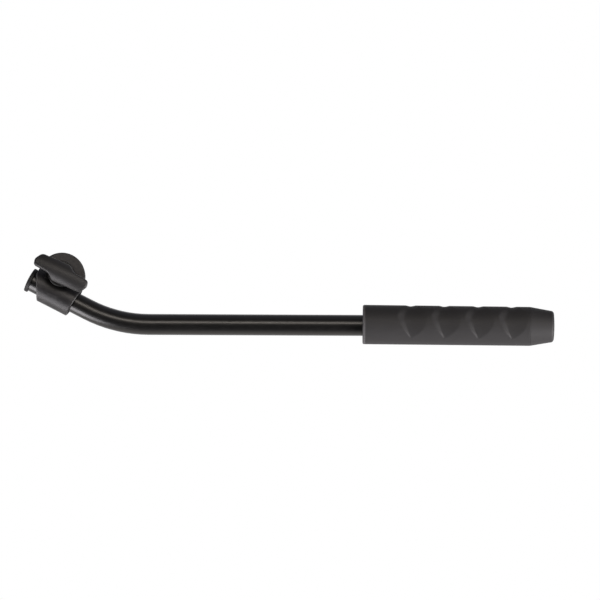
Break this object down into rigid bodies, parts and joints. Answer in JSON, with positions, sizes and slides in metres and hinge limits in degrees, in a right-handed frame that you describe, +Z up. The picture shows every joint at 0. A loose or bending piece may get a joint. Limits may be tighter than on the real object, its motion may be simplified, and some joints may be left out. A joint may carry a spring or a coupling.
{
  "type": "pan handle",
  "caption": "Bent tube pan handle for a fluid video head, with a finger grip, a split tube clamp, a toothed rosette and a captive wing screw.",
  "frame": {"origin": "on the wing screw's axis, in the plane of the rosette's tooth crests", "axes": "+Y along the screw towards the head, +X along the straight tube towards the grip, +Z up"},
  "size_m": [0.4042, 0.047, 0.0699],
  "materials": {
    "clamp": "die cast, satin dark grey coat",
    "rosette": "glass-filled, moulded teeth",
    "fasteners": "zinc plated",
    "bush": "smooth, low friction",
    "hard_plastic": "fine texture",
    "soft_touch": "matte, soft",
    "tube": "satin black anodised",
    "grip_rubber": "matte, fine grain",
    "grip_end": "matte, fine grain"
  },
  "bodies": {
    "clamp": {"clamp_body": "clamp", "rosette_ring": "rosette", "rosette_screws": "fasteners"},
    "washer": {"thrust_washer": "fasteners"},
    "knob": {"knob_core": "hard_plastic", "knob_cover": "soft_touch", "knob_screw": "fasteners", "retaining_clip": "fasteners"},
    "bush": {"tube_bush": "bush"},
    "bar": {"tube": "tube", "stop_plug": "hard_plastic", "grip_core": "hard_plastic", "grip_sleeve": "grip_rubber", "grip_end_cap": "grip_end"}
  },
  "joints": [
    {"name": "screw_travel", "type": "slide", "parent": "clamp", "child": "washer", "axis": [0, -1, 0], "range_m": [0, 0.00295]},
    {"name": "knob_turn", "type": "hinge", "parent": "washer", "child": "knob", "pos_m": [0, 0, 0], "axis": [0, -1, 0], "range_deg": [0, 1060]},
    {"name": "tube_turn", "type": "hinge", "parent": "clamp", "child": "bush", "pos_m": [-0.00636, -0.014, -0.01247], "axis": [0.891, 0, -0.454], "continuous": true},
    {"name": "tube_slide", "type": "slide", "parent": "bush", "child": "bar", "axis": [0.891, 0, -0.454], "range_m": [-0.01, 0.0002]}
  ],
  "couplings": [
    {"joint": "screw_travel", "follows": "knob_turn", "m_per_rad": 0.00015915}
  ]
}
